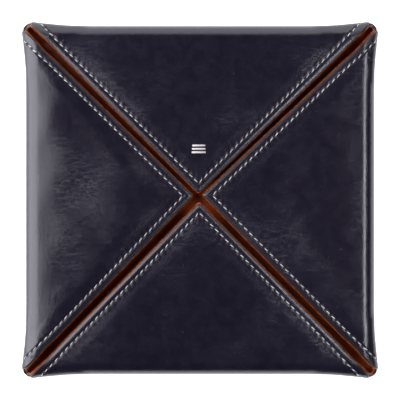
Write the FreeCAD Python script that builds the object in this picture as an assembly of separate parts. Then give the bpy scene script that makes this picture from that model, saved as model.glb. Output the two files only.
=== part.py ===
"""Folding dice tray: a square two-ply leather sheet whose four corners fold in over a boarded base.

Closed, it is a flat square case. The corners of the sheet are four triangular flaps that meet in the
middle, each hidden magnet over its partner in the base. Each flap hangs on a low side wall, and a soft
rolled fold joins base to wall and wall to flap, so that everything opens out flat.
Spare leather at each corner of the base stands up as a pinched ear.

Frame: millimetres, +Z up, origin at the middle of the underside. One side is modelled facing east (+X)
and is turned about Z for the other three.
"""

import FreeCAD, Part
import math
import os

# ---- driving sizes ----
OUTER_WIDTH = 160.0      # across the closed case, roll to roll
CLOSED_HEIGHT = 16.0     # underside to the top of the flaps
ROLL_RADIUS = 6.5        # outer radius of each soft fold
LEATHER = 1.2            # outer ply
LINING = 0.8             # inner ply
FLAP_BOARD = 0.6         # stiffener in each flap
TIP_TO_CENTRE = 2.6      # closed flap's tip to the middle of the case
TIP_ROUND = 1.2          # rounding of a flap's tip
BOARD_INSET = 5.0        # flap's cut edge to its stiffener, outside the seam
BASE_BOARD_INSET = 3.0   # base fold to the base's stiffener
SEAM_INSET = 3.2         # cut edge to the line of stitches
THREAD_WIDTH = 0.7
THREAD_HEIGHT = 0.4
THREAD_SINK = 0.2        # how deep the thread is pulled into the leather
MAGNET_DIAMETER = 8.0
MAGNET_THICKNESS = 1.0
MAGNET_BACKSET = 13.0    # flap's tip to the middle of its magnet
MAGNET_PLAY = 0.1        # radial room in its pocket
MAGNET_FLOOR = 0.2       # board left under a magnet of the base
TACK_BACKSET = 20.2      # north flap's tip to the middle of its bar tack
TACK_LENGTH = 6.0
TACK_PITCH = 1.6
TACK_BARS = 3
EAR_REACH = 3.7          # pinched ear's tip past the corner of the walls' inner faces
EAR_SLOT = 2.2           # space left between the two halves of a pinched ear
EAR_ROUND = 1.4          # rounding of the ear's outer corners
EAR_TIP_HEIGHT = 8.0     # ear's cut edge above the underside, at its tip
EAR_DROP = 1.5           # ear's highest point below the flaps' underside
FOLD_END = 9.0           # how far short of the wall corner a fold and its wall stop
BODY_GAP = 0.3           # clear space between parts on different bodies

# ---- sizes worked out from them ----
SHEET = LEATHER + LINING
BASE_BOARD = MAGNET_THICKNESS + MAGNET_FLOOR   # stiffener in the base
HALF = OUTER_WIDTH / 2
FLAT_HALF = HALF - ROLL_RADIUS              # middle to where a fold starts
WALL_INNER = HALF - SHEET                   # middle to a wall's inner face
FOLD_HALF = WALL_INNER - FOLD_END           # half the length of a fold and a wall
EAR_START = FOLD_HALF + BODY_GAP            # where the root's corner pieces start
LIP = CLOSED_HEIGHT - ROLL_RADIUS           # top of a wall's flat part
EAR_TIP = WALL_INNER * math.sqrt(2) + EAR_REACH   # middle to an ear's tip, along the diagonal
EAR_TOP = CLOSED_HEIGHT - SHEET - EAR_DROP
SIDES = {"east": 0, "north": 90, "west": 180, "south": 270}
CORNERS = {"northeast": 0, "northwest": 90, "southwest": 180, "southeast": 270}
UP = FreeCAD.Vector(0, 0, 1)
ORIGIN = FreeCAD.Vector(0, 0, 0)


def box(x0, x1, y0, y1, z0, z1):
    return Part.makeBox(x1 - x0, y1 - y0, z1 - z0, FreeCAD.Vector(x0, y0, z0))


def prism(points, z0, z1):
    """A plate with the outline of points, from z0 to z1."""
    corners = [FreeCAD.Vector(x, y, z0) for x, y in points]
    face = Part.Face(Part.makePolygon(corners + corners[:1]))
    return face.extrude(UP * (z1 - z0))


def disc(x, y, radius, z0, z1):
    return Part.makeCylinder(radius, z1 - z0, FreeCAD.Vector(x, y, z0))


def turned(shape, degrees):
    """A copy turned about the case's middle."""
    copy = shape.copy()
    copy.rotate(ORIGIN, UP, degrees)
    return copy


def export(name, *solids):
    shape = solids[0] if len(solids) == 1 else Part.makeCompound(list(solids))
    shape.exportStep(os.path.join("parts", name + ".step"))


# ---- base ----
def base_outline(z0, z1):
    """The base's plate: flat between the folds, with corners that reach into the ears."""
    plate = box(-FLAT_HALF, FLAT_HALF, -FLAT_HALF, FLAT_HALF, z0, z1)
    for degrees in CORNERS.values():
        corner = box(EAR_START, WALL_INNER, EAR_START, WALL_INNER, z0, z1)
        plate = plate.fuse(turned(corner, degrees))
    return plate.removeSplitter()


def base_magnet_places():
    reach = TIP_TO_CENTRE + MAGNET_BACKSET
    return [(reach, 0), (0, reach), (-reach, 0), (0, -reach)]


def base_board_solid():
    half = FLAT_HALF - BASE_BOARD_INSET
    return box(-half, half, -half, half, LEATHER, LEATHER + BASE_BOARD)


def base_magnet_solids(play=0.0):
    top = LEATHER + BASE_BOARD
    radius = MAGNET_DIAMETER / 2 + play
    return [disc(x, y, radius, top - MAGNET_THICKNESS, top) for x, y in base_magnet_places()]


def make_base():
    board = base_board_solid()
    export("base_leather", base_outline(0, LEATHER))
    pockets = Part.makeCompound(base_magnet_solids(MAGNET_PLAY))
    export("base_board", board.cut(pockets))
    raised = FLAT_HALF - BASE_BOARD_INSET + LINING
    lining = base_outline(LEATHER, SHEET)
    lining = lining.fuse(box(-raised, raised, -raised, raised, LEATHER, SHEET + BASE_BOARD))
    export("base_lining", lining.cut(board).removeSplitter())
    export("base_magnets", *base_magnet_solids())


# ---- corner ears ----
def ear_profile(inset):
    """Plan of the north-east corner shrunk by inset: the corner of the wall line and the ear on it."""
    half = HALF - inset
    inner = FOLD_HALF / 2
    square = box(inner, half, inner, half, 0, CLOSED_HEIGHT)
    width = EAR_SLOT / 2 + SHEET - inset
    start = WALL_INNER * math.sqrt(2) - FOLD_END
    ear = box(start, EAR_TIP - inset, -width, width, 0, CLOSED_HEIGHT)
    radius = EAR_ROUND - inset
    if radius > 0:
        edges = [e for e in ear.Edges if upright(e) and e.BoundBox.XMin > start + 1]
        ear = ear.makeFillet(radius, edges)
    return square.fuse(turned(ear, 45))


def upright(edge):
    return edge.BoundBox.ZLength > edge.BoundBox.XLength + edge.BoundBox.YLength


def ear_envelope():
    """The space an ear may fill: outside the folds' ends, and under the slope of its cut edge."""
    room = box(EAR_START, EAR_TIP, EAR_START, EAR_TIP, 0, EAR_TOP)
    low = (EAR_START + WALL_INNER) / math.sqrt(2)
    fall = (EAR_TOP - EAR_TIP_HEIGHT) / (EAR_TIP - low)
    far = 2 * EAR_TIP
    points = [(low, EAR_TOP), (far, EAR_TOP), (far, EAR_TOP - fall * (far - low))]
    vectors = [FreeCAD.Vector(u, -far, z) for u, z in points]
    face = Part.Face(Part.makePolygon(vectors + vectors[:1]))
    above = face.extrude(FreeCAD.Vector(0, 2 * far, 0))
    return room.cut(turned(above, 45))


def make_ears():
    room = ear_envelope()
    outer = ear_profile(0)
    middle = ear_profile(LEATHER)
    inner = ear_profile(SHEET)
    leather = outer.cut(middle).common(room)
    lining = middle.cut(inner).common(room)
    for name, degrees in CORNERS.items():
        export(f"{name}_ear_leather", turned(leather, degrees))
        export(f"{name}_ear_lining", turned(lining, degrees))


# ---- side walls and folds, facing east ----
def quarter_roll(outer_radius, thickness, centre_z, low):
    """A quarter of a tube about Y at the fold's start: the lower or the upper fold."""
    centre = FreeCAD.Vector(FLAT_HALF, -FOLD_HALF, centre_z)
    along = FreeCAD.Vector(0, 1, 0)
    ring = Part.makeCylinder(outer_radius, 2 * FOLD_HALF, centre, along)
    ring = ring.cut(Part.makeCylinder(outer_radius - thickness, 2 * FOLD_HALF, centre, along))
    z0, z1 = (centre_z - outer_radius, centre_z) if low else (centre_z, centre_z + outer_radius)
    return ring.common(box(FLAT_HALF, HALF, -FOLD_HALF, FOLD_HALF, z0, z1))


def make_sides():
    folds = (("lower", ROLL_RADIUS, True), ("upper", LIP, False))
    for side, degrees in SIDES.items():
        wall = box(HALF - LEATHER, HALF, -FOLD_HALF, FOLD_HALF, ROLL_RADIUS, LIP)
        export(f"{side}_wall_leather", turned(wall, degrees))
        lining = box(WALL_INNER, HALF - LEATHER, -FOLD_HALF, FOLD_HALF, ROLL_RADIUS, LIP)
        export(f"{side}_wall_lining", turned(lining, degrees))
        for level, centre_z, low in folds:
            leather = quarter_roll(ROLL_RADIUS, LEATHER, centre_z, low)
            inner = quarter_roll(ROLL_RADIUS - LEATHER, LINING, centre_z, low)
            export(f"{side}_{level}_fold", turned(leather, degrees), turned(inner, degrees))


# ---- flaps, facing east ----
def flap_plate(inset, z0, z1):
    """The flap's triangle, shrunk by inset from its two cut edges, with a rounded tip."""
    tip = TIP_TO_CENTRE + inset * math.sqrt(2)
    spread = FLAT_HALF - tip
    plate = prism([(tip, 0), (FLAT_HALF, -spread), (FLAT_HALF, spread)], z0, z1)
    point = [e for e in plate.Edges if upright(e) and e.BoundBox.XMin < tip + TIP_ROUND]
    return plate.makeFillet(TIP_ROUND, point)


def seam_bar():
    """The line of thread round a flap's two cut edges, half sunk in the leather."""
    z0 = CLOSED_HEIGHT - THREAD_SINK
    outer = flap_plate(SEAM_INSET - THREAD_WIDTH / 2, z0, z0 + THREAD_HEIGHT)
    inner = flap_plate(SEAM_INSET + THREAD_WIDTH / 2, z0, z0 + THREAD_HEIGHT)
    return outer.cut(inner)


def tack_bars():
    """The bar tack on the north flap: short parallel stitches across it."""
    z0 = CLOSED_HEIGHT - THREAD_SINK
    first = TIP_TO_CENTRE + TACK_BACKSET - TACK_PITCH * (TACK_BARS - 1) / 2
    bars = []
    for n in range(TACK_BARS):
        x = first + n * TACK_PITCH
        half = TACK_LENGTH / 2
        bars.append(box(x - THREAD_WIDTH / 2, x + THREAD_WIDTH / 2, -half, half, z0, z0 + THREAD_HEIGHT))
    return bars


def flap_board():
    top = CLOSED_HEIGHT - LEATHER
    board = flap_plate(BOARD_INSET, top - FLAP_BOARD, top)
    return board.common(box(0, FLAT_HALF - BASE_BOARD_INSET, -HALF, HALF, 0, CLOSED_HEIGHT))


def flap_magnet(play=0.0):
    top = CLOSED_HEIGHT - LEATHER
    x = TIP_TO_CENTRE + MAGNET_BACKSET
    return disc(x, 0, MAGNET_DIAMETER / 2 + play, top - MAGNET_THICKNESS, top)


def make_flaps():
    top = CLOSED_HEIGHT - LEATHER
    seam = seam_bar()
    board = flap_board()
    swell = flap_plate(BOARD_INSET - LINING, top - LINING - FLAP_BOARD, top)
    inner = FLAT_HALF - BASE_BOARD_INSET + LINING
    swell = swell.common(box(0, inner, -HALF, HALF, 0, CLOSED_HEIGHT))
    lining = flap_plate(0, top - LINING, top).fuse(swell).cut(board)
    lining = lining.cut(flap_magnet(MAGNET_PLAY)).removeSplitter()
    board = board.cut(flap_magnet(MAGNET_PLAY))
    for side, degrees in SIDES.items():
        leather = flap_plate(0, top, CLOSED_HEIGHT).cut(seam)
        if side == "north":
            bars = tack_bars()
            leather = leather.cut(Part.makeCompound(bars))
            export("north_flap_tack", *[turned(b, degrees) for b in bars])
        export(f"{side}_flap_leather", turned(leather, degrees))
        export(f"{side}_flap_lining", turned(lining, degrees))
        export(f"{side}_flap_board", turned(board, degrees))
        export(f"{side}_flap_magnet", turned(flap_magnet(), degrees))
        export(f"{side}_flap_seam", turned(seam, degrees))


def main():
    os.makedirs("parts", exist_ok=True)
    make_base()
    make_ears()
    make_sides()
    make_flaps()


main()
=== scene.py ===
"""The look of a folding leather dice tray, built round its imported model.

The leather is one square sheet of two plies. A point of it is given by how far it lies out from the
middle (p) and along the side (q), both in millimetres on the flat sheet, and folded() says where that
point lies when the tray is closed. Every leather piece, cut edge and stitch is laid out on the flat
sheet and folded with the same function, so that they meet.
"""

import math

import bpy
import numpy as np
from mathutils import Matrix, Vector


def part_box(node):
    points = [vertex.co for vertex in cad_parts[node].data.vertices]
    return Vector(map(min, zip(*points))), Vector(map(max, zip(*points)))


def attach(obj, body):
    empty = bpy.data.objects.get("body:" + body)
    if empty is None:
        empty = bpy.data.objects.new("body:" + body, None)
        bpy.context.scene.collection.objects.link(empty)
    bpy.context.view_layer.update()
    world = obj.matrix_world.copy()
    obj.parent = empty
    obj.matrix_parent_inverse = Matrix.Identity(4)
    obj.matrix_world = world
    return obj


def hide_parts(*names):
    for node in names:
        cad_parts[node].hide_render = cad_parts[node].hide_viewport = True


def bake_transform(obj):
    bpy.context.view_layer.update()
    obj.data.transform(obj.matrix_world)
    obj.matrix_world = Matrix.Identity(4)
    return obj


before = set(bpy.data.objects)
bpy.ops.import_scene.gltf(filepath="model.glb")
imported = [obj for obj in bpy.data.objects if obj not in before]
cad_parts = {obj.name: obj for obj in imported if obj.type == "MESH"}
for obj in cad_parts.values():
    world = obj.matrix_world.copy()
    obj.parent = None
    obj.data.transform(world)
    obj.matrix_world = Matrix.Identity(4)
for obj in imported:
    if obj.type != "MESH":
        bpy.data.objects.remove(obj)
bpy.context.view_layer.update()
MM = 0.001


# ---------------------------------------------------------------- sizes, in millimetres, from the frame
def corner_mm(node, which):
    return [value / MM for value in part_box(node)[which]]


HALF = corner_mm("east_wall_leather", 1)[0]            # middle to a wall's outer face
HEIGHT = corner_mm("east_flap_leather", 1)[2]          # top of the closed flaps
OUTER_PLY = HALF - corner_mm("east_wall_leather", 0)[0]
LINING_PLY = corner_mm("east_wall_lining", 1)[0] - corner_mm("east_wall_lining", 0)[0]
FLAT = corner_mm("east_flap_leather", 1)[0]            # middle to where a fold starts
SWELL = corner_mm("base_board", 1)[2] - corner_mm("base_board", 0)[2]
FLAP_SWELL = corner_mm("east_flap_board", 1)[2] - corner_mm("east_flap_board", 0)[2]
TIP_GAP = 2.6                                          # a closed flap's sharp tip to the middle
SHEET = OUTER_PLY + LINING_PLY
ROLL = HALF - FLAT                                     # outer radius of a soft fold
BEND_RADIUS = ROLL - SHEET / 2
BEND = math.pi / 2 * BEND_RADIUS                       # length of leather in one fold
LOWER_END = FLAT + BEND
UPPER_START = LOWER_END + HEIGHT - 2 * ROLL
UPPER_END = UPPER_START + BEND
REACH = UPPER_END + FLAT - TIP_GAP                     # middle of the sheet to its corners
EDGE = REACH / math.sqrt(2)                            # middle of the sheet to its cut edges
ROOT_HALF = math.sqrt(0.5)

# ---------------------------------------------------------------- sizes of the looks, in millimetres
TIP_ROUND = 1.2
BOARD_INSET = 5.0              # a flap's board in from the cut edge
BASE_BOARD_INSET = 3.0         # the boards in from the folds
BOARD_SLOPE = 2.2              # run of lining that climbs onto a flap's board
BASE_SLOPE = 2.5               # run of lining that climbs onto the base's board
PLY_GAP = 0.01                 # kept between the plies, so that their faces never coincide
EDGE_ROUND = 0.35              # rounding of the cut edges
LINING_PROUD = 0.30            # the lining is trimmed a little wide

SEAM_INSET = 3.2
STITCHES_PER_HALF = 35         # from an ear's fold to a flap's tip
PITCH = (EDGE - SEAM_INSET) / STITCHES_PER_HALF
STITCH_LENGTH = 2.28
STITCH_RISE = 0.55
STITCH_SINK = 0.30
THREAD = 0.37
INSIDE_START = 9.0             # nearer an ear's fold the thread runs between the plies
TACK_STRANDS = {"Thread": 0.95, "Rise": 0.75, "Sink": 0.2}

EAR_BLEND = 6.0                # leather beside an ear's fold that gives as a wall opens
FLOOR_HALF = 1500.0
FLOOR_DROP = 0.2               # floor below the tray, so that it never shows through

SIDES = {"east": 0, "north": 1, "west": 2, "south": 3}
CORNERS = {"east": "northeast", "north": "northwest", "west": "southwest", "south": "southeast"}
# How far each closed flap's tip lies from its drawn place: the leather has crept with use.
TIP_DRIFT = {"east": (-1.6, 2.3), "north": (-0.8, 0.5), "west": (-0.7, 2.0), "south": (-0.4, 1.5)}
# How far the leather has sunk beside the fold of each flap, and the run over which it has.
SHOULDER = {"east": 0.5, "north": 0.5, "west": 1.8, "south": 0.3}
SHOULDER_RUN = 20.0
# How high each closed flap bulges over its board, where, and how far along and across the bulge spreads.
BULGE = {"east": 0.5, "north": 0.2, "west": 1.6, "south": 0.2}
BULGE_MIDDLE = UPPER_END + 0.54 * FLAT
BULGE_LENGTH = 15.0
BULGE_WIDTH = 32.0


def smooth(t):
    t = np.clip(t, 0, 1)
    return t * t * (3 - 2 * t)


# ---------------------------------------------------------------- the sheet, folded
def profile(p, depth):
    """x and z of the sheet away from its corners, depth below the outer face."""
    radius = ROLL - depth
    low = np.clip((p - FLAT) / BEND_RADIUS, 0, math.pi / 2)
    high = np.clip((p - UPPER_START) / BEND_RADIUS, 0, math.pi / 2)
    zones = [p < FLAT, p < LOWER_END, p < UPPER_START, p < UPPER_END]
    x = np.select(zones, [p, FLAT + radius * np.sin(low), FLAT + radius + 0 * p,
                          FLAT + radius * np.cos(high)], FLAT - (p - UPPER_END))
    z = np.select(zones, [depth + 0 * p, ROLL - radius * np.cos(low), ROLL + (p - LOWER_END),
                          HEIGHT - ROLL + radius * np.sin(high)], HEIGHT - depth + 0 * p)
    return x, z


class Ear:
    """One corner of the sheet, settled into its pinched ear: the middle of the sheet on a grid.

    The grid runs away from the ear's fold (rows) and out along the diagonal (columns). Its links keep
    their length, longer ones resist sharp bends, and the leather stays clear of its mirror image.
    """

    ROWS = 31
    START = 88.0
    ROUNDS = 1500
    STIFF = 0.15
    WIDTH = 6.2             # across the ear, outside
    TIP_LIMIT = 114.0       # how far out along the diagonal the ear's outer face may stand
    FLARE = 2.6             # how far an ear stands out past the wall
    FLARE_RUN = 24.0        # length of wall that flares
    SLOT = 2.8              # between the lips of two flaps just inside the ear
    BLUNT = 1.5             # rounding of the ear's end, in the middle of the sheet

    def __init__(self):
        columns = int(round(EDGE - self.START)) + 1
        self.across = np.arange(self.ROWS) * 1.0
        self.along = np.linspace(self.START, EDGE + LINING_PROUD, columns)
        self.step = self.along[1] - self.along[0]
        away, out = np.meshgrid(self.across, self.along, indexing="ij")
        p = (out + away) * ROOT_HALF
        q = (out - away) * ROOT_HALF
        x, z = profile(p, SHEET / 2)
        self.start_sheet = (p, q)
        self.start = np.stack([x, q, z], -1)
        self.points = self.start.copy()
        self.held = np.zeros(p.shape, bool)
        self.held[-2:] = True
        self.held[:, :2] = True
        self.held |= p < FLAT - 1
        self.settle()

    def links(self):
        """Sets of links that share no point, each with its rest length and stiffness."""
        kinds = [(1, 0, 1), (0, 1, 1), (1, 1, 0.7), (1, -1, 0.7)]
        for n in (2, 4, 6):
            kinds += [(n, 0, self.STIFF), (0, n, self.STIFF), (n, n, self.STIFF / 2), (n, -n, self.STIFF / 2)]
        rows, columns = self.held.shape
        for down, right, stiffness in kinds:
            i, j = np.meshgrid(np.arange(rows - down), np.arange(max(0, -right), columns - max(0, right)),
                               indexing="ij")
            turn = i // down if down else j // right
            length = math.hypot(down, right * self.step)
            for odd in (0, 1):
                pick = turn % 2 == odd
                yield (i[pick], j[pick]), (i[pick] + down, j[pick] + right), length, stiffness

    def limits(self):
        """How near to the diagonal each point may come, and how far from it the pinch lets it go."""
        radius = (self.WIDTH - SHEET) / 2
        away = self.across[:, None]
        below = self.along[-1] - self.along[None, :]
        lip = radius * np.sin(np.minimum(away / radius, math.pi / 2))
        lip = lip - (radius - self.SLOT / 2) * smooth((away - 4) / 5)
        lip = lip + (TIP_GAP * ROOT_HALF - self.SLOT / 2) * smooth((away - 9) / 18)
        return lip + 0 * below, lip + 0.1 + below

    def wall_hold(self):
        """How firmly each point of the wall is held out to the flare beside the ear."""
        p, q = self.start_sheet
        wall = smooth((p - LOWER_END + 5) / 5) * smooth((UPPER_START + 5 - p) / 5)
        return 0.3 * wall * smooth((q - 50) / 6) * smooth((self.across[:, None] - 2.5) / 3)

    def flap_hold(self):
        """How firmly each point of the flap is kept level beside the ear."""
        return 0.3 * smooth((self.start_sheet[0] - UPPER_END + 1) / 4)

    def keep_clear(self, points, near, far, hold, level):
        """Holds the leather off its mirror image, inside the pinch, off the floor and level on the flap."""
        apart = (points[..., 0] - points[..., 1]) * ROOT_HALF
        push = (np.clip(apart, near, far) - apart) * ROOT_HALF
        points[..., 0] += push
        points[..., 1] -= push
        points[0, :, :2] = points[0, :, :2].mean(-1, keepdims=True)
        points[..., 2] = np.clip(points[..., 2], SHEET / 2, HEIGHT - SHEET / 2 + 0.1)
        points[..., 2] += level * (HEIGHT - SHEET / 2 - points[..., 2])
        flare = np.clip((points[..., 1] - HALF + self.FLARE_RUN) / self.FLARE_RUN, 0, 1)
        side = HALF - SHEET / 2 + self.FLARE * flare**1.6
        points[..., 0] += hold * (side - points[..., 0])
        points[..., 0] = np.minimum(points[..., 0], side)
        off = (points[..., 0] - points[..., 1]) * ROOT_HALF
        corner = np.clip(off - (self.WIDTH - SHEET) / 2 + self.BLUNT, 0, self.BLUNT)
        tip = self.TIP_LIMIT - SHEET / 2 - self.BLUNT + np.sqrt(self.BLUNT**2 - corner**2)
        over = (points[..., 0] + points[..., 1]) * ROOT_HALF - tip
        points[..., :2] -= (np.maximum(over, 0) * ROOT_HALF)[..., None]

    def settle(self):
        links = list(self.links())
        free = (~self.held)[..., None].astype(float)
        points = self.points
        near, far = self.limits()
        hold, level = self.wall_hold(), self.flap_hold()
        self.keep_clear(points, near, far, hold, level)
        for _ in range(self.ROUNDS):
            for one, two, length, stiffness in links:
                gap = points[two] - points[one]
                reach = np.linalg.norm(gap, axis=-1, keepdims=True) + 1e-9
                pull = stiffness * (reach - length) / reach * gap
                if stiffness <= self.STIFF:
                    pull = np.where(reach < length, pull, 0)
                total = free[one] + free[two] + 1e-9
                points[one] += pull * free[one] / total
                points[two] -= pull * free[two] / total
            self.keep_clear(points, near, far, hold, level)
            points[self.held] = self.start[self.held]
        self.soften(points)

    def soften(self, points):
        """Evens out what the links leave between neighbours, mirrored at the ear's fold."""
        for _ in range(2):
            mirror = points[1:2][..., [1, 0, 2]]
            padded = np.concatenate([mirror, points, points[-1:]])
            mean = (padded[:-2] + padded[2:]) / 2
            side = np.concatenate([points[:, :1], points, 2 * points[:, -1:] - points[:, -2:-1]], 1)
            mean = (mean + (side[:, :-2] + side[:, 2:]) / 2) / 2
            points[~self.held] = (0.5 * points + 0.5 * mean)[~self.held]

    def sample(self, away, out):
        """The middle of the sheet there, by Catmull-Rom interpolation of the grid."""
        rows, columns = self.held.shape
        i = np.clip(away, 0, rows - 1.001)
        j = np.clip((out - self.START) / self.step, 0, columns - 1.001)
        i0, j0 = np.floor(i).astype(int), np.floor(j).astype(int)
        wi, wj = weights(i - i0), weights(j - j0)
        total = 0
        for a in range(4):
            row = i0 + a - 1
            mirrored = row < 0
            row = np.minimum(np.abs(row), rows - 1)
            line = 0
            for b in range(4):
                column = np.clip(j0 + b - 1, 0, columns - 1)
                point = self.points[row, column]
                over = (j0 + b - 1 > columns - 1)[..., None]
                past = 2 * self.points[row, columns - 1] - self.points[row, columns - 2]
                point = np.where(over, past, point)
                line = line + point * wj[b][..., None]
            line = np.where(mirrored[..., None], line[..., [1, 0, 2]], line)
            total = total + line * wi[a][..., None]
        return total


def weights(t):
    return [(-t + 2 * t**2 - t**3) / 2, (2 - 5 * t**2 + 3 * t**3) / 2,
            (t + 4 * t**2 - 3 * t**3) / 2, (t**3 - t**2) / 2]


EAR = Ear()


def middle(p, q):
    """The middle of the sheet on the east side, and past the corner's diagonal its mirror image."""
    near = np.abs(q)
    far = np.maximum(p, near)
    low = np.minimum(p, near)
    x, z = profile(far, SHEET / 2)
    plain = np.stack([x, low, z], -1)
    away = (far - low) * ROOT_HALF
    out = (far + low) * ROOT_HALF
    share = smooth((27 - away) / 5) * smooth((out - 89.5) / 4)
    place = plain + (EAR.sample(away, out) - plain) * share[..., None]
    place = np.where((near > p)[..., None], place[..., [1, 0, 2]], place)
    place[..., 1] *= np.where(q < 0, -1, 1)
    return place


def normals(p, q):
    """Outward unit normals of the sheet."""
    h = 0.25
    along_p = middle(p + h, q) - middle(p - h, q)
    along_q = middle(p, q + h) - middle(p, q - h)
    n = np.cross(along_q, along_p)
    return n / (np.linalg.norm(n, axis=-1, keepdims=True) + 1e-12)


def inset_of(p, q, reach=REACH):
    """Distance from the cut edge, whose tips are rounded."""
    straight = (reach - p - np.abs(q)) * ROOT_HALF
    centre = reach - TIP_ROUND / ROOT_HALF
    round_tip = TIP_ROUND - np.hypot(p - centre, q)
    return np.where(p - centre > np.abs(q), round_tip, straight)


def bulge_of(p, q, side):
    """How far a flap's outer ply stands up off its board."""
    dome = np.exp(-((p - BULGE_MIDDLE) / BULGE_LENGTH) ** 2 - (q / BULGE_WIDTH) ** 2)
    return BULGE[side] * dome * smooth((inset_of(p, q) - 3.4) / 10)


def relief(p, q, side):
    """Unevenness of worn leather, up from the outer face."""
    seed = 1.7 * SIDES[side]
    inset = inset_of(p, q)
    on_flap = smooth((p - UPPER_END + 4) / 12)
    wave = 0.20 * np.sin(0.11 * p + 0.07 * q + seed) * np.sin(0.05 * p - 0.13 * q + 2.1 * seed)
    wave += 0.09 * np.sin(0.23 * p + 2.3 * seed) * np.cos(0.19 * q + seed)
    sunk = np.clip(1 - (p - UPPER_END + 5) / SHOULDER_RUN, 0, 1) ** 2
    shoulder = -SHOULDER[side] * sunk * smooth((p - UPPER_START) / BEND)
    body = (0.5 * smooth((inset - 3.4) / 6) + wave * smooth((inset - 3) / 14) - 0.45) * on_flap
    body = body + shoulder * smooth((inset - 2) / 8) + bulge_of(p, q, side)
    groove = -0.20 * np.exp(-((inset - SEAM_INSET) / 0.6) ** 2)
    curl = -0.5 * smooth((2.2 - inset) / 2.2) ** 2 * on_flap
    return body + groove + curl


def folded(p, q, depth, side):
    """Where a point of the sheet lies in the closed tray, in metres; depth is below the outer face."""
    p, q, depth = (np.array(v) for v in np.broadcast_arrays(p * 1.0, q * 1.0, depth * 1.0))
    place = middle(p, q) + normals(p, q) * (SHEET / 2 - depth + relief(p, q, side))[..., None]
    drift = np.clip((p - UPPER_END) / (REACH - UPPER_END), 0, 1)
    turn = SIDES[side] * math.pi / 2
    x = place[..., 0] * math.cos(turn) - place[..., 1] * math.sin(turn) + TIP_DRIFT[side][0] * drift
    y = place[..., 0] * math.sin(turn) + place[..., 1] * math.cos(turn) + TIP_DRIFT[side][1] * drift
    return np.stack([x, y, place[..., 2]], -1) * MM


def flat_place(p, q, side):
    """The same point on the flat sheet, in decimetres, which is what the leather's materials read."""
    turn = SIDES[side] * math.pi / 2
    p, q = np.broadcast_arrays(p * 1.0, q * 1.0)
    x = p * math.cos(turn) - q * math.sin(turn)
    y = p * math.sin(turn) + q * math.cos(turn)
    return np.stack([x, y], -1) / 100


# ---------------------------------------------------------------- leather panels
def new_mesh(name, verts, faces, flat=None):
    mesh = bpy.data.meshes.new(name)
    mesh.from_pydata(verts.reshape(-1, 3).tolist(), [], faces.tolist())
    if flat is not None:
        layer = mesh.uv_layers.new(name="sheet")
        loops = np.empty(len(mesh.loops), np.int32)
        mesh.loops.foreach_get("vertex_index", loops)
        layer.data.foreach_set("uv", flat.reshape(-1, 2)[loops].astype(np.float32).ravel())
    mesh.update()
    obj = bpy.data.objects.new(name, mesh)
    bpy.context.scene.collection.objects.link(obj)
    return obj


def volume_sign(points, faces):
    a, b, c, d = (points[faces[:, k]] for k in range(4))
    return np.sign(np.einsum("ij,ij->i", a, np.cross(b, c) + np.cross(c, d)).sum())


def shell(name, outer, inner, flat):
    """A closed panel between two grids of points."""
    rows, columns = outer.shape[:2]
    index = np.arange(rows * columns).reshape(rows, columns)
    quads = np.stack([index[:-1, :-1], index[1:, :-1], index[1:, 1:], index[:-1, 1:]], -1).reshape(-1, 4)
    ring = np.concatenate([index[0, :-1], index[:-1, -1], index[-1, :0:-1], index[:0:-1, 0]])
    after = np.roll(ring, -1)
    under = rows * columns
    rim = np.stack([ring, after, after + under, ring + under], -1)
    faces = np.concatenate([quads, quads[:, ::-1] + under, rim])
    verts = np.concatenate([outer.reshape(-1, 3), inner.reshape(-1, 3)])
    if volume_sign(verts, faces) < 0:
        faces = faces[:, ::-1]
    obj = new_mesh(name, verts, faces, np.concatenate([flat.reshape(-1, 2)] * 2))
    smooth_shading(obj)
    return obj


def smooth_shading(obj, limit=math.radians(50)):
    """Smooth faces with the panel's square rims kept crisp."""
    mesh = obj.data
    mesh.shade_smooth()
    mesh.set_sharp_from_angle(angle=limit)


def column_insets():
    """Columns' distances along the side from its end, close together by the cut edge."""
    return np.concatenate([np.arange(0, 0.7, 0.1), np.arange(0.8, 7, 0.35), np.arange(7.2, 30, 0.9)])


def side_grid(rows, reach=REACH):
    """p and q of a grid on one side, from end to end of it."""
    near_tip = reach - TIP_ROUND / ROOT_HALF
    half = np.minimum(rows, reach - rows)
    arc = np.sqrt(np.maximum(TIP_ROUND**2 - (rows - near_tip) ** 2, 0))
    half = np.where(rows > near_tip + TIP_ROUND * ROOT_HALF, arc, half)
    close = column_insets()
    span = np.minimum(30.0, 0.6 * half)
    edge_part = half[:, None] - close[None, :] * (span / 30.0)[:, None]
    inner_part = (half - span)[:, None] * np.linspace(1, 0, 13)[None, :]
    right = np.concatenate([edge_part, inner_part], 1)
    q = np.concatenate([right, -right[:, -2::-1]], 1)
    return np.broadcast_to(rows[:, None], q.shape), q


def rows_between(start, end, step):
    """Rows with a narrow one at each end, so that shading carries on across a join."""
    count = max(2, int(round((end - start) / step)))
    between = np.linspace(start, end, count + 1)[1:-1]
    return np.concatenate([[start, start + 0.05], between, [end - 0.05, end]])


def edge_depth(inset, radius):
    """How far a face drops where it rounds into the cut edge."""
    short = np.clip(radius - inset, 0, radius)
    return radius - np.sqrt(radius**2 - short**2)


def swell_of(p, q, side):
    """How far the lining stands off the outer ply over a flap's board."""
    board_root = UPPER_END + BASE_BOARD_INSET
    inside = np.minimum(inset_of(p, q) - BOARD_INSET, p - board_root)
    return FLAP_SWELL * smooth((inside + BOARD_SLOPE) / BOARD_SLOPE) + bulge_of(p, q, side)


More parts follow.
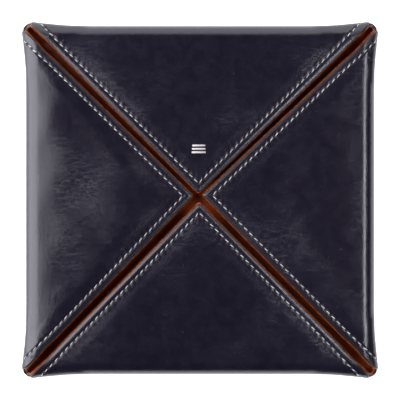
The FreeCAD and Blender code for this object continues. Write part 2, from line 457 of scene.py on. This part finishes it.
def side_panel(name, side, rows, ply, reach):
    p, q = side_grid(rows, reach)
    inset = inset_of(p, q, reach)
    flat = flat_place(p, q, side)
    if ply == "outer":
        outer = edge_depth(inset, EDGE_ROUND)
        inner = OUTER_PLY + 0 * inset
    else:
        swell = swell_of(p, q, side)
        outer = OUTER_PLY + PLY_GAP + swell
        inner = SHEET + swell - edge_depth(inset, EDGE_ROUND)
    return shell(name, folded(p, q, outer, side), folded(p, q, inner, side), flat)


def lower_weight(p, q):
    """0 where the leather stays with the base, 1 where it goes with the wall."""
    away = (p - np.abs(q)) * ROOT_HALF
    return smooth((p - FLAT) / BEND) * smooth(away / EAR_BLEND)


def upper_weight(p, q):
    """0 where the leather stays with the wall, 1 where it goes with the flap."""
    return smooth((p - UPPER_START) / BEND) + 0 * q


def bend_along(obj, first, second, start, end, weight):
    """Bakes the piece's place into its mesh."""
    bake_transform(obj)


def turned(side, x, z):
    turn = SIDES[side] * math.pi / 2
    return Vector((x * math.cos(turn), x * math.sin(turn), z)) * MM


def lower_blend(obj, side, weight):
    bend_along(obj, "base", side + "_wall", turned(side, FLAT, 0), turned(side, HALF, ROLL), weight)


def upper_blend(obj, side, weight):
    bend_along(obj, side + "_wall", side + "_flap", turned(side, HALF, HEIGHT - ROLL),
               turned(side, FLAT, HEIGHT), weight)


def flap_rows(reach):
    """Rows from the wall's top to a flap's tip."""
    tip_end = reach - TIP_ROUND / ROOT_HALF + TIP_ROUND * 0.999
    fold = rows_between(UPPER_START, UPPER_END + 2, 0.6)[:-2]
    plain = np.arange(UPPER_END + 2, tip_end - 6, 1.0)
    return np.concatenate([fold, plain, np.linspace(plain[-1] + 0.5, tip_end, 22)])


def make_side(side, materials):
    lower_rows = rows_between(FLAT, UPPER_START, 0.5)
    for ply in ("outer", "lining"):
        reach = REACH if ply == "outer" else REACH + LINING_PROUD / ROOT_HALF
        upper_rows = flap_rows(reach)
        lower = side_panel(f"{side}_lower_{ply}", side, lower_rows, ply, reach)
        upper = side_panel(f"{side}_upper_{ply}", side, upper_rows, ply, reach)
        lower_blend(lower, side, np.stack([lower_weight(*side_grid(lower_rows, reach))] * 2))
        upper_blend(upper, side, np.stack([upper_weight(*side_grid(upper_rows, reach))] * 2))
        corner = CORNERS[side]
        if ply == "outer":
            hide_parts(f"{side}_lower_fold", f"{corner}_ear_leather", f"{side}_wall_leather")
            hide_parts(f"{side}_upper_fold", f"{side}_flap_leather")
        else:
            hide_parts(f"{corner}_ear_lining", f"{side}_wall_lining")
            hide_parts(f"{side}_flap_lining")
        for panel in (lower, upper):
            panel.data.materials.append(materials[ply])


def make_base(materials):
    """The flat bottom, its lining swelling over the board."""
    line = rows_between(-FLAT, FLAT, 2 * FLAT / 97)
    x, y = np.meshgrid(line, line, indexing="ij")
    flat = np.stack([x, y], -1) / 100
    board = FLAT - np.maximum(np.abs(x), np.abs(y)) - BASE_BOARD_INSET
    swell = SWELL * smooth((board + BASE_SLOPE) / BASE_SLOPE)
    wave = 0.10 * np.sin(0.09 * x + 0.4) * np.sin(0.11 * y + 1.3) * smooth(board / 12)

    def at(z):
        return np.stack([x, y, z + 0 * x], -1) * MM

    outer = shell("base_outer", at(0), at(OUTER_PLY), flat)
    lining = shell("base_lining_sheet", at(OUTER_PLY + PLY_GAP + swell), at(SHEET + swell + wave), flat)
    for panel, ply, node in ((outer, "outer", "base_leather"), (lining, "lining", "base_lining")):
        panel.data.materials.append(materials[ply])
        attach(panel, "base")
        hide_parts(node)


# ---------------------------------------------------------------- stitching
def tree_node(tree, kind, settings=(), **sockets):
    """A node of that kind, its settings given first and then its sockets' values or links."""
    node = tree.nodes.new(kind)
    for key, value in dict(settings).items():
        setattr(node, key, value)
    for key, value in sockets.items():
        socket = node.inputs[key.replace("_", " ")]
        if isinstance(value, bpy.types.NodeSocket):
            tree.links.new(value, socket)
        else:
            socket.default_value = value
    return node


def stitch_tree(thread_material):
    """Stitches laid on points: each arches along the point's 'along' axis with its ends sunk."""
    tree = bpy.data.node_groups.new("stitches", "GeometryNodeTree")
    sizes = {"Length": STITCH_LENGTH, "Thread": THREAD, "Rise": STITCH_RISE, "Sink": STITCH_SINK}
    tree.interface.new_socket("Geometry", in_out="INPUT", socket_type="NodeSocketGeometry")
    for name, value in sizes.items():
        socket = tree.interface.new_socket(name, in_out="INPUT", socket_type="NodeSocketFloat")
        socket.default_value = value * MM
    tree.interface.new_socket("Geometry", in_out="OUTPUT", socket_type="NodeSocketGeometry")
    given = tree.nodes.new("NodeGroupInput").outputs

    def vector(x, z):
        return tree_node(tree, "ShaderNodeCombineXYZ", X=x, Z=z).outputs[0]

    def scaled(value, factor):
        node = tree_node(tree, "ShaderNodeMath", {"operation": "MULTIPLY"})
        tree.links.new(value, node.inputs[0])
        node.inputs[1].default_value = factor
        return node.outputs[0]

    half = scaled(given["Length"], 0.5)
    sink = scaled(given["Sink"], -1)
    arch = tree_node(tree, "GeometryNodeCurveQuadraticBezier", Resolution=8,
                     Start=vector(scaled(half, -1), sink), Middle=vector(0.0, given["Rise"]),
                     End=vector(half, sink)).outputs[0]
    ring = tree_node(tree, "GeometryNodeCurvePrimitiveCircle", Resolution=8,
                     Radius=scaled(given["Thread"], 0.5)).outputs[0]
    strand = tree_node(tree, "GeometryNodeCurveToMesh", Curve=arch, Profile_Curve=ring,
                       Fill_Caps=True).outputs[0]
    place = tree_node(tree, "GeometryNodeInputPosition").outputs[0]
    marked = tree_node(tree, "GeometryNodeStoreNamedAttribute", {"data_type": "FLOAT_VECTOR"},
                       Geometry=strand, Name="strand", Value=place).outputs[0]
    along = tree_node(tree, "GeometryNodeInputNamedAttribute", {"data_type": "FLOAT_VECTOR"}, Name="along")
    up = tree_node(tree, "GeometryNodeInputNamedAttribute", {"data_type": "FLOAT_VECTOR"}, Name="up")
    facing = tree_node(tree, "FunctionNodeAxesToRotation", {"primary_axis": "X", "secondary_axis": "Z"},
                       Primary_Axis=along.outputs[0], Secondary_Axis=up.outputs[0]).outputs[0]
    size = tree_node(tree, "FunctionNodeRandomValue", {"data_type": "FLOAT"}, Seed=7)
    size.inputs[2].default_value = 0.93
    size.inputs[3].default_value = 1.05
    laid = tree_node(tree, "GeometryNodeInstanceOnPoints", Points=given["Geometry"], Instance=marked,
                     Rotation=facing, Scale=size.outputs[1]).outputs[0]
    whole = tree_node(tree, "GeometryNodeRealizeInstances", Geometry=laid).outputs[0]
    soft = tree_node(tree, "GeometryNodeSetShadeSmooth", Geometry=whole).outputs[0]
    done = tree_node(tree, "GeometryNodeSetMaterial", Geometry=soft, Material=thread_material).outputs[0]
    tree.links.new(done, tree.nodes.new("NodeGroupOutput").inputs[0])
    return tree


def lay_stitches(name, tree, points, along, up, weight, sizes=()):
    """A plain mesh of stitches, and the weight of each of its points."""
    seeds = new_mesh(name + "_places", points, np.zeros((0, 3), int))
    for key, values in (("along", along), ("up", up)):
        attribute = seeds.data.attributes.new(key, "FLOAT_VECTOR", "POINT")
        attribute.data.foreach_set("vector", values.astype(np.float32).ravel())
    seeds.data.attributes.new("weight", "FLOAT", "POINT").data.foreach_set("value", weight.astype(np.float32))
    modifier = seeds.modifiers.new("stitches", "NODES")
    modifier.node_group = tree
    for item in tree.interface.items_tree:
        if item.in_out == "INPUT" and item.name in dict(sizes):
            modifier[item.identifier] = dict(sizes)[item.name] * MM
    graph = bpy.context.evaluated_depsgraph_get()
    mesh = bpy.data.meshes.new_from_object(seeds.evaluated_get(graph), depsgraph=graph)
    mesh.name = name
    obj = bpy.data.objects.new(name, mesh)
    bpy.context.scene.collection.objects.link(obj)
    bpy.data.objects.remove(seeds)
    carried = np.empty(len(mesh.vertices), np.float32)
    mesh.attributes["weight"].data.foreach_get("value", carried)
    return obj, carried


def seam_places(half):
    """p and q of a side's stitches: the lower half by the ears or the upper half on the flap."""
    out = (np.arange(STITCHES_PER_HALF) + 0.5) * PITCH
    p = ((EDGE - SEAM_INSET) + out) * ROOT_HALF
    q = ((EDGE - SEAM_INSET) - out) * ROOT_HALF
    p, q = np.concatenate([p, p]), np.concatenate([q, -q])
    keep = p < UPPER_START if half == "lower" else p >= UPPER_START
    return p[keep], q[keep]


def stitch_frames(side, p, q, depth, face):
    """Place, direction along the seam and upward direction of each stitch."""
    lean = np.sign(q)
    h = 0.2
    run = folded(p + h, q - lean * h, depth, side) - folded(p - h, q + lean * h, depth, side)
    cross = folded(p + h, q + lean * h, depth, side) - folded(p - h, q - lean * h, depth, side)
    up = np.cross(run, cross) * lean[:, None]
    up /= np.linalg.norm(up, axis=-1, keepdims=True)
    outward = normals(p, q)
    turn = SIDES[side] * math.pi / 2
    x = outward[:, 0] * math.cos(turn) - outward[:, 1] * math.sin(turn)
    y = outward[:, 0] * math.sin(turn) + outward[:, 1] * math.cos(turn)
    flip = np.sign(x * up[:, 0] + y * up[:, 1] + outward[:, 2] * up[:, 2]) * face
    up *= flip[:, None]
    run /= np.linalg.norm(run, axis=-1, keepdims=True)
    slant = 0.16 * face
    sideways = np.cross(up, run)
    return folded(p, q, depth, side), run + slant * sideways, up


def make_stitching(side, tree):
    for half, weigh, blend in (("lower", lower_weight, lower_blend), ("upper", upper_weight, upper_blend)):
        p, q = seam_places(half)
        inside = p - np.abs(q) > INSIDE_START
        p2, q2 = p[inside], q[inside]
        under = SHEET + swell_of(p2, q2, side)
        frames = [stitch_frames(side, p, q, 0 * p, 1), stitch_frames(side, p2, q2, under, -1)]
        points, along, up = (np.concatenate(parts) for parts in zip(*frames))
        weight = np.concatenate([weigh(p, q), weigh(p2, q2)])
        seam, carried = lay_stitches(f"{side}_{half}_seam", tree, points, along, up, weight)
        blend(seam, side, carried)
        if half == "upper":
            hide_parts(f"{side}_flap_seam")


def make_tack(tree):
    """Three short parallel bars that hold a lining loop on the north flap."""
    low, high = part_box("north_flap_tack")
    middle_x, length = (low.x + high.x) / 2 / MM, (high.x - low.x) / MM
    rows = np.linspace(low.y / MM + 0.4, high.y / MM - 0.4, 3)
    p = REACH - (rows - TIP_GAP)
    q = 0 * p - middle_x
    points = folded(p, q, 0 * p, "north")
    along = np.tile([1.0, 0.0, 0.0], (3, 1))
    up = np.tile([0.0, 0.0, 1.0], (3, 1))
    tack, _ = lay_stitches("north_flap_bar_tack", tree, points, along, up, np.ones(3),
                           {"Length": length, **TACK_STRANDS})
    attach(tack, "north_flap")
    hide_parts("north_flap_tack")


# ---------------------------------------------------------------- materials
class Wire:
    """A shader socket that adds its own Math nodes when it is used in a sum."""

    def __init__(self, shop, socket):
        self.shop = shop
        self.socket = socket

    def math(self, operation, *values):
        return self.shop.node("ShaderNodeMath", {"operation": operation}, dict(enumerate(values)))

    def __add__(self, other):
        return self.math("ADD", self, other)

    def __sub__(self, other):
        return self.math("SUBTRACT", self, other)

    def __rsub__(self, other):
        return self.math("SUBTRACT", other, self)

    def __mul__(self, other):
        return self.math("MULTIPLY", self, other)

    def __pow__(self, other):
        return self.math("POWER", self, other)

    __radd__ = __add__
    __rmul__ = __mul__

    def abs(self):
        return self.math("ABSOLUTE", self)

    def wrap(self, low, high):
        return self.math("WRAP", self, high, low)

    def ramp(self, low, high, to_low=0.0, to_high=1.0):
        """Eased from to_low at low to to_high at high, and level outside."""
        return self.shop.node("ShaderNodeMapRange", {"interpolation_type": "SMOOTHSTEP"},
                              {"Value": self, "From Min": low, "From Max": high,
                               "To Min": to_low, "To Max": to_high})


class Shop:
    """The nodes of one material."""

    def __init__(self, name):
        self.material = bpy.data.materials.new(name)
        self.material.use_nodes = True
        self.tree = self.material.node_tree
        self.tree.nodes.clear()

    def node(self, kind, settings=(), sockets=(), out=0):
        made = self.tree.nodes.new(kind)
        for key, value in dict(settings).items():
            setattr(made, key, value)
        for key, value in dict(sockets).items():
            if isinstance(value, Wire):
                self.tree.links.new(value.socket, made.inputs[key])
            else:
                made.inputs[key].default_value = value
        return Wire(self, made.outputs[out])

    def mix(self, share, one, two):
        colours = {6: one, 7: two}
        for key, value in colours.items():
            if not isinstance(value, Wire):
                colours[key] = (*value, 1)
        return self.node("ShaderNodeMix", {"data_type": "RGBA"}, {0: share, **colours}, out=2)

    def noise(self, vector, scale, detail=3.0, roughness=0.5, distortion=0.0):
        return self.node("ShaderNodeTexNoise", (), {"Vector": vector, "Scale": scale, "Detail": detail,
                                                    "Roughness": roughness, "Distortion": distortion})

    def cells(self, vector, scale):
        """Distance to the edges of small cells, as between the pebbles of a grain."""
        return self.node("ShaderNodeTexVoronoi", {"feature": "DISTANCE_TO_EDGE"},
                         {"Vector": vector, "Scale": scale})

    def bump(self, height, distance, strength=1.0, over=None):
        sockets = {"Height": height, "Distance": distance, "Strength": strength}
        if over is not None:
            sockets["Normal"] = over
        return self.node("ShaderNodeBump", (), sockets)

    def finish(self, **sockets):
        named = {key.replace("_", " "): value for key, value in sockets.items()}
        shader = self.node("ShaderNodeBsdfPrincipled", (), named)
        output = self.tree.nodes.new("ShaderNodeOutputMaterial")
        self.tree.links.new(shader.socket, output.inputs[0])
        return self.material


def srgb(r, g, b):
    """A colour given in everyday 0 to 255 values, as light."""
    return tuple(v / 255 / 12.92 if v <= 10 else ((v / 255 + 0.055) / 1.055) ** 2.4 for v in (r, g, b))


def sheet_wires(shop):
    """The flat sheet's place, the distance from its cut edge and the place along that edge, in mm."""
    flat = shop.node("ShaderNodeUVMap", {"uv_map": "sheet"})
    parts = shop.tree.nodes.new("ShaderNodeSeparateXYZ")
    shop.tree.links.new(flat.socket, parts.inputs[0])
    x, y = Wire(shop, parts.outputs[0]), Wire(shop, parts.outputs[1])
    inset = (REACH / 100 - x.abs() - y.abs()) * (100 * ROOT_HALF)
    along = (x.abs() - y.abs()) * (100 * ROOT_HALF)
    return flat, inset, along


def awl_holes(shop, inset, along):
    """1 in the middle of each stitch hole, falling to 0 at its rim; the leathers use it to colour the holes
    dark as painted shade.
    """
    across = inset - SEAM_INSET
    run = along.wrap(-PITCH / 2, PITCH / 2) * 0.75
    apart = (across * across + run * run) ** 0.5
    return apart.ramp(0.25, 0.62, 1.0, 0.0)


def outer_leather():
    """Navy-black pull-up leather: fine pebbled grain, long soft creases, paler scuffs where it is handled and
    a painted highlight along its cut edges.
    """
    shop = Shop("navy_leather")
    flat, inset, along = sheet_wires(shop)
    holes_with_shade = awl_holes(shop, inset, along)
    broad = shop.noise(flat, 2.2, 3, 0.55)
    mottle = shop.noise(flat, 16, 5, 0.6, 0.4)
    grain = shop.cells(flat, 105)
    pores = shop.noise(flat, 260, 3, 0.6)
    stretch = shop.node("ShaderNodeMapping", (),
                        {"Vector": flat, "Rotation": (0, 0, 0.7), "Scale": (14, 60, 1)})
    creases = shop.noise(stretch, 1.0, 6, 0.62, 1.6)
    crease = (creases - 0.5).abs().ramp(0.0, 0.025, 1.0, 0.0) * broad.ramp(0.30, 0.75) * 0.7
    scuffs = shop.noise(flat, 44, 6, 0.72, 0.9).ramp(0.60, 0.74) * shop.noise(flat, 5, 2).ramp(0.45, 0.62)
    # Painted highlight: the leather is paler along its cut edges, where the rolled edge catches the light.
    edge_highlight = inset.ramp(0.2, 2.6, 1.0, 0.0)
    colour = shop.mix(mottle.ramp(0.30, 0.75), srgb(15, 12, 24), srgb(20, 17, 30))
    colour = shop.mix(broad.ramp(0.40, 0.70) * 0.6, colour, srgb(22, 21, 33))
    colour = shop.mix(edge_highlight * 0.5, colour, srgb(38, 34, 40))
    colour = shop.mix(scuffs * 0.4, colour, srgb(58, 54, 58))
    colour = shop.mix(crease * 0.2, colour, srgb(40, 38, 46))
    paint = inset.ramp(0.30, 0.62, 1.0, 0.0)
    colour = shop.mix(paint, colour, srgb(25, 14, 19))
    # Painted shade: the stitch holes are coloured near black.
    colour = shop.mix(holes_with_shade, colour, srgb(3, 2, 3))
    gloss = mottle.ramp(0.3, 0.7, 0.21, 0.25) + scuffs * 0.12 + paint * 0.16 + holes_with_shade * 0.3
    rumples = shop.noise(flat, 66, 4, 0.6, 0.3)
    pebbles = grain.ramp(0.0, 0.30) * 0.7 + pores * 0.4 + rumples * 1.3 - crease * 0.65
    turn = along * (2 * math.pi / PITCH)
    pucker = turn.math("COSINE", turn) * inset.ramp(1.2, 3.0) * inset.ramp(3.4, 6.0, 1.0, 0.0)
    fine = shop.bump(pebbles, 0.00003, 0.9)
    gathers = shop.bump(pucker * -1.0, 0.00007, 0.8, fine)
    dents = shop.bump(1 - holes_with_shade, 0.00040, 1.0, gathers)
    return shop.finish(Base_Color=colour, Roughness=gloss, Normal=dents, Specular_IOR_Level=0.5)


def lining_leather():
    """Waxed cognac leather, its cut edge burnished orange-brown."""
    shop = Shop("cognac_leather")
    flat, inset, along = sheet_wires(shop)
    holes_with_shade = awl_holes(shop, inset, along)
    clouds = shop.noise(flat, 7, 5, 0.6, 0.5)
    fibre = shop.noise(flat, 60, 5, 0.65)
    grain = shop.cells(flat, 110)
    colour = shop.mix(clouds.ramp(0.3, 0.7), srgb(140, 52, 8), srgb(172, 74, 14))
    colour = shop.mix(fibre.ramp(0.45, 0.75) * 0.35, colour, srgb(176, 92, 30))
    edge = shop.mix(fibre.ramp(0.40, 0.62), srgb(92, 42, 16), srgb(172, 96, 48))
    colour = shop.mix(inset.ramp(-0.2, 0.3, 1.0, 0.0), colour, edge)
    # Painted shade: the stitch holes are coloured dark brown.
    colour = shop.mix(holes_with_shade, colour, srgb(24, 9, 4))
    gloss = clouds.ramp(0.3, 0.7, 0.40, 0.55) + holes_with_shade * 0.3
    height = grain.ramp(0.0, 0.3) * 0.4 + fibre * 0.6 + clouds * 0.4
    fine = shop.bump(height, 0.00003, 0.7)
    dents = shop.bump(1 - holes_with_shade, 0.00040, 1.0, fine)
    return shop.finish(Base_Color=colour, Roughness=gloss, Normal=dents, Specular_IOR_Level=0.22)


def waxed_thread():
    """Off-white waxed thread, twisted along its own length and dulled by handling, with painted shade in the
    grooves of its twist.
    """
    shop = Shop("waxed_thread")
    strand = shop.node("ShaderNodeAttribute", {"attribute_name": "strand"}, out=1)
    turns = shop.node("ShaderNodeTexWave", {"wave_type": "BANDS", "bands_direction": "DIAGONAL"},
                      {"Vector": strand, "Scale": 900.0, "Distortion": 0.6, "Detail": 1.0})
    place = shop.node("ShaderNodeTexCoord", out=3)
    grime = shop.noise(place, 160, 3, 0.6)
    lint = shop.noise(strand, 9000, 2, 0.6)
    colour = shop.mix(grime.ramp(0.35, 0.7), srgb(186, 182, 178), srgb(226, 222, 216))
    # Painted shade: darker grey in the grooves of the twist.
    colour = shop.mix(turns.ramp(0.0, 0.45, 0.55, 0.0), colour, srgb(120, 116, 114))
    normal = shop.bump(turns * 0.8 + lint * 0.3, 0.00010, 0.8)
    return shop.finish(Base_Color=colour, Roughness=grime.ramp(0.3, 0.7, 0.5, 0.68), Normal=normal)


def board_finish():
    """Grey-brown pressed fibre board."""
    shop = Shop("fibre_board")
    place = shop.node("ShaderNodeTexCoord", out=3)
    flecks = shop.noise(place, 900, 5, 0.7)
    clouds = shop.noise(place, 60, 3)
    colour = shop.mix(flecks.ramp(0.35, 0.7), srgb(116, 100, 82), srgb(158, 142, 120))
    colour = shop.mix(clouds * 0.4, colour, srgb(98, 86, 72))
    normal = shop.bump(flecks, 0.00008, 0.5)
    return shop.finish(Base_Color=colour, Roughness=flecks.ramp(0.3, 0.7, 0.8, 0.92), Normal=normal)


def magnet_finish():
    """Nickel-plated discs with fine handling scratches."""
    shop = Shop("nickel_plate")
    place = shop.node("ShaderNodeTexCoord", out=3)
    stretched = shop.node("ShaderNodeMapping", (), {"Vector": place, "Scale": (300, 4000, 300)})
    scratches = shop.noise(stretched, 1.0, 4, 0.7)
    colour = shop.mix(scratches.ramp(0.3, 0.7), srgb(176, 176, 178), srgb(206, 205, 202))
    return shop.finish(Base_Color=colour, Metallic=1.0, Roughness=scratches.ramp(0.3, 0.7, 0.2, 0.4),
                       Normal=shop.bump(scratches, 0.00002, 0.3))


def dress_hidden_parts():
    """Boards and magnets stay as drawn, with their own finishes."""
    finishes = {"board": board_finish(), "magnet": magnet_finish()}
    for name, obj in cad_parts.items():
        for word, material in finishes.items():
            if word in name and isinstance(obj, bpy.types.Object):
                for part in obj.material_slots:
                    part.material = material


# ---------------------------------------------------------------- floor, light and camera
def make_floor():
    """A pale floor that gives off a little light, as a lit table does."""
    half, low = FLOOR_HALF * MM, -FLOOR_DROP * MM
    corners = np.array([[-half, -half, low], [half, -half, low], [half, half, low], [-half, half, low]])
    floor = new_mesh("floor", corners, np.array([[0, 1, 2, 3]]))
    shop = Shop("pale_floor")
    place = shop.node("ShaderNodeTexCoord", out=3)
    tone = shop.mix(shop.noise(place, 3.0), (0.93, 0.93, 0.93), (0.96, 0.96, 0.96))
    floor.data.materials.append(shop.finish(Base_Color=tone, Roughness=0.9, Specular_IOR_Level=0.0,
                                            Emission_Color=tone, Emission_Strength=0.75))


def softbox(name, place, size, power, aim=(0, 0, 0.01)):
    lamp = bpy.data.lights.new(name, "AREA")
    lamp.shape = "RECTANGLE"
    lamp.size, lamp.size_y = size
    lamp.energy = power
    lamp.color = (0.94, 0.92, 1.0)
    obj = bpy.data.objects.new(name, lamp)
    bpy.context.scene.collection.objects.link(obj)
    obj.location = place
    obj.rotation_euler = (Vector(aim) - Vector(place)).to_track_quat("-Z", "Y").to_euler()


def make_lights():
    world = bpy.data.worlds.new("studio")
    bpy.context.scene.world = world
    world.use_nodes = True
    world.node_tree.nodes["Background"].inputs[0].default_value = (0.93, 0.92, 1, 1)
    world.node_tree.nodes["Background"].inputs[1].default_value = 0.05
    softbox("left_softbox", (-0.78, 0.09, 0.50), (0.9, 1.08), 20.5)
    softbox("right_strip", (0.57, 0.0, 0.74), (0.8, 0.12), 6.0)
    softbox("back_softbox", (0.0, 0.93, 0.37), (1.0, 0.75), 6.0)


def make_camera():
    """Straight above the middle of the tray."""
    lens, sensor, field = 100.0, 36.0, 0.1844
    camera = bpy.data.cameras.new("camera")
    camera.lens, camera.sensor_width = lens, sensor
    camera.clip_start = 0.01
    obj = bpy.data.objects.new("camera", camera)
    bpy.context.scene.collection.objects.link(obj)
    obj.location = (0, 0, HEIGHT * 0.5 * MM + field * lens / sensor)
    bpy.context.scene.camera = obj
    bpy.context.scene.view_settings.view_transform = "Standard"


def main():
    leathers = {"outer": outer_leather(), "lining": lining_leather()}
    tree = stitch_tree(waxed_thread())
    make_base(leathers)
    for side in SIDES:
        make_side(side, leathers)
        make_stitching(side, tree)
    make_tack(tree)
    dress_hidden_parts()
    make_floor()
    make_lights()
    make_camera()


main()
